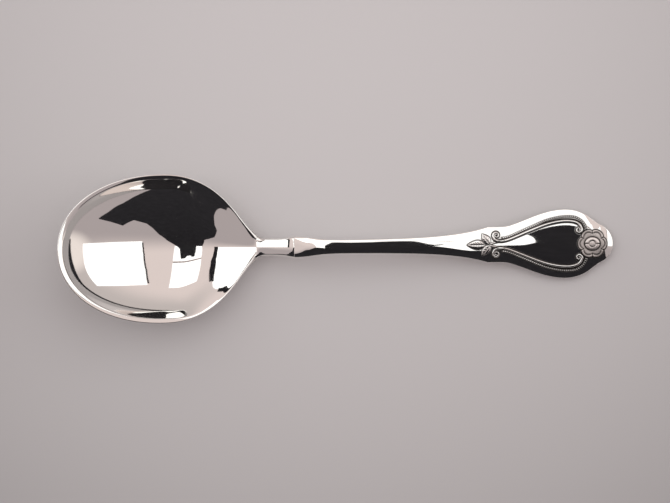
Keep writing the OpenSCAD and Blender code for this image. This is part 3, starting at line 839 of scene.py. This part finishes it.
def silver_material(name, ornamented):
    """Hand-polished silver: a mirror with a warm white tone, faint wiping hairlines and a soft haze.

    On the ornamented shell the chased leaves and rose keep a satin finish, and dark sulphide stays in the
    recesses. The same dark mark also paints shade into the channel by the beads and onto the far beads.
    """
    finish = bpy.context.scene.spoon_finish
    material, tree, surface = new_material(name, {"Metallic": 1.0})
    place = add(tree, "ShaderNodeTexCoord").outputs["Object"]
    # Hairlines lie along the spoon about 0.5 mm apart, drawn as coarse as they need to show
    stretch = add(tree, "ShaderNodeMapping", {"Scale": (60, 2000, 2000)}, {"Vector": place}).outputs[0]
    strands = {"Scale": 1.0, "Detail": 3.0, "Roughness": 0.6}
    hairs = add(tree, "ShaderNodeTexNoise", strands, {"Vector": stretch}).outputs["Fac"]
    # Wiping marks are about 12 mm across
    wiped = add(tree, "ShaderNodeTexNoise", {"Scale": 85.0, "Detail": 2.0}, {"Vector": place}).outputs["Fac"]
    both = add(tree, "ShaderNodeMath", {"operation": "MULTIPLY"}, {0: hairs, 1: wiped}).outputs[0]
    haze = {"From Min": 0.1, "From Max": 0.45, "To Min": finish.haze * 0.6, "To Max": finish.haze * 1.8}
    rough = add(tree, "ShaderNodeMapRange", haze, {"Value": both}).outputs["Result"]
    tones = {"data_type": "RGBA", 6: rgba(finish.silver), 7: rgba([c * 0.97 for c in finish.silver])}
    tone = add(tree, "ShaderNodeMix", tones, {0: wiped}).outputs[2]
    if ornamented:
        # The patina mark also carries painted shade in the channel and on the far beads
        for key, colour in (("frost", finish.satin), ("patina", finish.patina)):
            mark = add(tree, "ShaderNodeAttribute", {"attribute_name": key}).outputs["Fac"]
            over = {"data_type": "RGBA", 7: rgba(colour)}
            tone = add(tree, "ShaderNodeMix", over, {0: mark, 6: tone}).outputs[2]
            over = {"data_type": "FLOAT", 3: SATIN_ROUGH}
            rough = add(tree, "ShaderNodeMix", over, {0: mark, 2: rough}).outputs[0]
    fine = add(tree, "ShaderNodeBump", {"Strength": 0.02, "Distance": 0.00002}, {"Height": hairs})
    tree.links.new(tone, surface["Base Color"])
    tree.links.new(rough, surface["Roughness"])
    tree.links.new(fine.outputs[0], surface["Normal"])
    return material


def cement_material():
    """Set resin-and-chalk cement: matt, brown, with chalk grains of about 0.4 mm."""
    finish = bpy.context.scene.spoon_finish
    material, tree, surface = new_material("Resin cement", {"Roughness": 0.85})
    place = add(tree, "ShaderNodeTexCoord").outputs["Object"]
    grain = add(tree, "ShaderNodeTexNoise", {"Scale": 2500.0, "Detail": 4.0}, {"Vector": place}).outputs["Fac"]
    pale = rgba([min(1.0, c * 1.6) for c in finish.cement])
    tone = add(tree, "ShaderNodeMix", {"data_type": "RGBA", 6: rgba(finish.cement), 7: pale}, {0: grain})
    rough = add(tree, "ShaderNodeBump", {"Strength": 0.3, "Distance": 0.0001}, {"Height": grain})
    tree.links.new(tone.outputs[2], surface["Base Color"])
    tree.links.new(rough.outputs[0], surface["Normal"])
    return material


# Painted light on the paper, as a share of its tone: under the spoon, gained by each metre towards the far
# side, lost by the square of the distance in metres, and its limits
PAINTED_LIGHT_MID, PAINTED_LIGHT_FAR, PAINTED_LIGHT_AWAY, PAINTED_LIGHT_LEAST, PAINTED_LIGHT_MOST = 1.06, 1.4, -7.5, 0.7, 1.25


def table_material():
    """Matt background paper with painted light: paler towards the far side, darker away from the spoon."""
    finish = bpy.context.scene.spoon_finish
    matt = {"Roughness": 0.9, "Specular IOR Level": 0.1}
    material, tree, surface = new_material("Paper with painted light", matt)
    place = add(tree, "ShaderNodeTexCoord").outputs["Object"]
    across = add(tree, "ShaderNodeSeparateXYZ", links={0: place}).outputs["Y"]
    # Painted light: the paper's tone rises towards the far side and falls away from the spoon
    gain = {"operation": "MULTIPLY_ADD", 1: PAINTED_LIGHT_FAR, 2: PAINTED_LIGHT_MID}
    far = add(tree, "ShaderNodeMath", gain, {0: across}).outputs[0]
    away = add(tree, "ShaderNodeVectorMath", {"operation": "DOT_PRODUCT"}, {0: place, 1: place})
    loss = {"operation": "MULTIPLY_ADD", 1: PAINTED_LIGHT_AWAY}
    painted_light_level = add(tree, "ShaderNodeMath", loss, {0: away.outputs["Value"], 2: far}).outputs[0]
    painted_light = add(tree, "ShaderNodeClamp", {"Min": PAINTED_LIGHT_LEAST, "Max": PAINTED_LIGHT_MOST}, {"Value": painted_light_level}).outputs[0]
    paper = {"operation": "SCALE", 0: finish.table[:]}
    tone = add(tree, "ShaderNodeVectorMath", paper, {"Scale": painted_light})
    tree.links.new(tone.outputs[0], surface["Base Color"])
    return material


def panel_material():
    """White lit panel of an even glow, which silver shows as plain white."""
    glow = {"Strength": bpy.context.scene.spoon_stage.panel_glow}
    return new_material("Lit white panel", glow, "ShaderNodeEmission")[0]


def drape_material():
    """Black studio cloth that soaks up the light, with soft folds about 150 mm across."""
    finish = bpy.context.scene.spoon_finish
    dull = {"Roughness": 1.0, "Specular IOR Level": 0.0}
    material, tree, surface = new_material("Black studio cloth", dull)
    place = add(tree, "ShaderNodeTexCoord").outputs["Object"]
    folds = add(tree, "ShaderNodeTexNoise", {"Scale": 6.0, "Detail": 3.0}, {"Vector": place}).outputs["Fac"]
    dim = rgba([c * 0.6 for c in finish.drape])
    tone = add(tree, "ShaderNodeMix", {"data_type": "RGBA", 6: dim, 7: rgba(finish.drape)}, {0: folds})
    tree.links.new(tone.outputs[2], surface["Base Color"])
    return material


# Stage


def stage_sheet(name, grid, material):
    """Open sheet of the stage over a grid of points, in metres."""
    n, m = grid.shape[:2]
    index = np.arange(n * m).reshape(n, m)
    sheet = new_object(name, grid.reshape(-1, 3), grid_quads(index.T).tolist())
    sheet.data.materials.append(material)
    return sheet


# Place in the bowl, in metres, that the sheets of the stage are given from. Each line of a sheet gives degrees
# from straight up, along the spoon and across it, at the line's two ends.
BOWL_EYE = (-0.052, 0.0, 0.003)

# Drape: degrees along, then degrees across at its upper and lower edge
DRAPE = [
    (-72, -82, -86), (-60, -82, -88), (-46, -80, -89), (-38, -70, -90), (-34, -62, -90), (-30, -50, -90),
    (-29, -42, -90), (-24, -32, -90), (-21, -26, -90), (-14, -20, -90), (-8.5, -16, -90), (-7.5, -12, -90),
    (-5, -4, -90), (1, -3.8, -90), (1.6, 12, -90), (4, 12, -90), (6, 9.5, -90), (9, 10, -90),
    (10.5, 12.5, -90), (14.5, 13, -90), (15.3, 0, -90), (17, -3, -90), (20, -6, -90), (26, -12, -86),
    (31, -20, -82), (34, -28, -79), (37, -34, -76), (44, -39, -68), (47.5, -36, -64), (51, -32, -61),
    (58, -38, -52), (65, -43, -44),
]  # fmt: skip

# White panels and the dark bars beside them: degrees across, then degrees along at both edges
PANELS = {
    "panel_over": [(-4, -4.5, 19.4), (6, -5, 20.4), (16, -5.8, 21)],
    "panel_back": [(18.3, -6.4, 21.2), (30, -9.6, 21.7), (42, -13.4, 22.3), (52, -16.6, 22.8)],
    "panel_right": [(-11, 41, 78), (6, 40.5, 78), (27, 38.5, 75), (46, 36, 67)],
    "panel_left": [
        (-2, -22, -85), (12, -22, -85), (28, -24.3, -85), (44, -29.6, -80), (57, -32.5, -75), (72, -32, -70),
        (84, -30, -66),
    ],
}  # fmt: skip
BARS = {
    "bar_left": [
        (-3, -17.6, -22), (12, -17.8, -22), (28, -18.9, -24.3), (44, -23.6, -29.6), (59, -29.7, -33.6),
    ],
    "bar_right": [(-9.5, 40.2, 41), (6, 39.6, 40.5), (27, 37.5, 38.5), (44, 35, 36)],
    "bar_over": [(16.8, -6, 20.9), (17.6, -6.2, 21)],
}  # fmt: skip

# Dark strip beyond the table's edge: degrees round from the handle's side to the far side, then degrees from
# straight up at its upper and lower edge
STRIP = [
    (-12, 89.2, 90), (-5, 88.2, 90), (3, 87.4, 90), (12, 87, 90), (20, 87.4, 90), (30, 88.4, 90),
    (60, 88.6, 90), (80, 88, 90), (95, 86.5, 90), (110, 86, 90), (125, 88, 90),
]  # fmt: skip


def seen(along, across, far):
    """Places at a distance from the bowl's eye, in directions given by degrees along and across."""
    turn = np.radians(np.hypot(along, across))
    way = np.arctan2(across, along)
    flat = np.stack([np.cos(way), np.sin(way)], -1) * np.sin(turn)[..., None]
    return np.array(BOWL_EYE) + np.concatenate([flat, np.cos(turn)[..., None]], -1) * far


def hang(name, along, across, far, material, lights=False):
    """Sheet of the stage that the silver shows and the camera does not. One that lights shines on the table."""
    sheet = stage_sheet(name, seen(along, across, far), material)
    sheet.visible_camera = False
    if not lights:
        sheet.visible_diffuse = sheet.visible_shadow = sheet.visible_transmission = False


# Shares of the way across each sheet, and half the size of the table in metres
SHEET_STEPS = np.linspace(0, 1, 17)
TABLE_HALF = 4


class SPOON_OT_bowl(bpy.types.Operator):
    """Builds the bowl with its rim, neck and tang"""

    bl_idname = "spoon.bowl"
    bl_label = "Bowl"

    def execute(self, context):
        s = spoon_sizes()
        top, under = bowl_surface(s)
        piece = mirrored_piece("spoon_bowl", top, under, s.overall_len / 2, {})
        dress(piece, "bowl", silver_material("Polished silver", False))
        return {"FINISHED"}


class SPOON_OT_handle(bpy.types.Operator):
    """Builds the ornamented front shell and the plain back shell of the handle"""

    bl_idname = "spoon.handle"
    bl_label = "Handle"

    def execute(self, context):
        s = spoon_sizes()
        silver = silver_material("Chased silver", True)
        outer, inner, marks = handle_surface(s, s.front_stem, s.front_shield, 1, FRONT_SPREAD, front_relief)
        piece = mirrored_piece("handle_front_shell", outer, inner, s.overall_len / 2, marks)
        dress(piece, "handle_front", silver)
        outer, inner, _ = handle_surface(s, s.back_stem, s.back_shield, -1, BACK_SPREAD)
        piece = mirrored_piece("handle_back_shell", inner, outer, s.overall_len / 2, {})
        dress(piece, "handle_back", bpy.data.materials["Polished silver"])
        return {"FINISHED"}


class SPOON_OT_cement(bpy.types.Operator):
    """Gives the cement inside the handle its finish"""

    bl_idname = "spoon.cement"
    bl_label = "Cement"

    def execute(self, context):
        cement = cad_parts["handle_cement"].data
        cement.materials.clear()
        cement.materials.append(cement_material())
        return {"FINISHED"}


class SPOON_OT_stage(bpy.types.Operator):
    """Builds the table, the panels, the drape, the room's light and the camera"""

    bl_idname = "spoon.stage"
    bl_label = "Stage"

    def execute(self, context):
        scene = context.scene
        stage, finish = scene.spoon_stage, scene.spoon_finish
        reach = np.linspace(-TABLE_HALF, TABLE_HALF, 9)
        x, y = np.meshgrid(reach, reach, indexing="ij")
        stage_sheet("table", np.stack([x, y, 0 * x], -1), table_material())
        cloth, white = drape_material(), panel_material()
        along, top, low = np.array(DRAPE).T[..., None]
        hang("drape", along + 0 * SHEET_STEPS, mix(top, low, SHEET_STEPS), stage.drape_far, cloth)
        way, high, low = np.array(STRIP).T[..., None]
        way, turn = np.radians(way), mix(high, low, SHEET_STEPS)
        hang("strip", turn * np.cos(way), turn * np.sin(way), stage.drape_far, cloth)
        for sheets, far, material in ((BARS, stage.drape_far, cloth), (PANELS, stage.panel_far, white)):
            for name, lines in sheets.items():
                across, start, stop = np.array(lines).T[..., None]
                along = mix(start, stop, SHEET_STEPS)
                hang(name, along, across + 0 * SHEET_STEPS, far, material, material == white)
        self.build_room(scene, finish)
        self.build_camera(scene, stage)
        scene.view_settings.view_transform = "Standard"
        return {"FINISHED"}

    def build_room(self, scene, finish):
        """Plain room light, dimmer on the viewer's side and low down, but not beyond the handle's end."""
        world = bpy.data.worlds.new("Room")
        world.use_nodes = True
        tree = world.node_tree
        tree.nodes.clear()
        way = add(tree, "ShaderNodeTexCoord").outputs["Generated"]
        apart = add(tree, "ShaderNodeSeparateXYZ", links={0: way}).outputs
        steps = []
        for axis, start, stop in (("Z", 0.1, 0.5), ("Y", -0.35, 0.1), ("X", 0.93, 0.99)):
            limits = {"interpolation_type": "SMOOTHSTEP", "From Min": start, "From Max": stop}
            steps.append(add(tree, "ShaderNodeMapRange", limits, {"Value": apart[axis]}).outputs[0])
        rise, side, ahead = steps
        walls = {"data_type": "RGBA", 6: rgba(finish.low), 7: rgba(finish.room)}
        tone = add(tree, "ShaderNodeMix", walls, {0: rise}).outputs[2]
        shade = {"data_type": "RGBA", 6: rgba(finish.shade)}
        tone = add(tree, "ShaderNodeMix", shade, {0: side, 7: tone}).outputs[2]
        end = {"data_type": "RGBA", 7: rgba(finish.end)}
        tone = add(tree, "ShaderNodeMix", end, {0: ahead, 6: tone}).outputs[2]
        light = add(tree, "ShaderNodeBackground", {"Strength": 1.0}, {"Color": tone})
        add(tree, "ShaderNodeOutputWorld", links={"Surface": light.outputs[0]})
        scene.world = world

    def build_camera(self, scene, stage):
        """Camera over the spoon: it leans from overhead by its tilt, and the picture turns by its turn."""
        data = bpy.data.cameras.new("Camera")
        data.lens, data.sensor_width = stage.lens, 36
        data.clip_start, data.clip_end = 0.01, 50
        back = Vector((0, np.sin(stage.camera_tilt), np.cos(stage.camera_tilt)))
        right = Vector((1, 0, 0))
        up = back.cross(right)
        turned = Matrix.Rotation(stage.camera_turn, 3, back)
        camera = bpy.data.objects.new("Camera", data)
        frame_axes = Matrix((turned @ right, turned @ up, back)).transposed().to_4x4()
        place = Vector(stage.aim) + back * stage.camera_far
        camera.matrix_world = Matrix.Translation(place) @ frame_axes
        scene.collection.objects.link(camera)
        scene.camera = camera


class SPOON_PT_panel(bpy.types.Panel):
    """Lists the steps and the sizes"""

    bl_label = "Serving Spoon"
    bl_idname = "SPOON_PT_panel"
    bl_space_type = "VIEW_3D"
    bl_region_type = "UI"
    bl_category = "Spoon"

    def draw(self, context):
        for step in STEPS:
            self.layout.operator(step.bl_idname)
        for name, group in GROUPS.items():
            box = self.layout.box()
            for key in group.__annotations__:
                box.prop(getattr(context.scene, name), key)


STEPS = (SPOON_OT_bowl, SPOON_OT_handle, SPOON_OT_cement, SPOON_OT_stage)
GROUPS = {
    "spoon_bowl": SpoonBowl,
    "spoon_handle": SpoonHandle,
    "spoon_ornament": SpoonOrnament,
    "spoon_finish": SpoonFinish,
    "spoon_stage": SpoonStage,
}


def register():
    """Registers the classes and puts the groups on the scene."""
    for cls in (*GROUPS.values(), *STEPS, SPOON_PT_panel):
        bpy.utils.register_class(cls)
    for name, group in GROUPS.items():
        setattr(bpy.types.Scene, name, PointerProperty(type=group))


def unregister():
    """Takes the groups and the classes away again."""
    for name in GROUPS:
        delattr(bpy.types.Scene, name)
    for cls in (SPOON_PT_panel, *reversed(STEPS), *reversed(GROUPS.values())):
        bpy.utils.unregister_class(cls)


def main():
    """Builds the spoon and its stage."""
    register()
    bpy.ops.spoon.bowl()
    bpy.ops.spoon.handle()
    bpy.ops.spoon.cement()
    bpy.ops.spoon.stage()


if __name__ == "__main__":
    main()
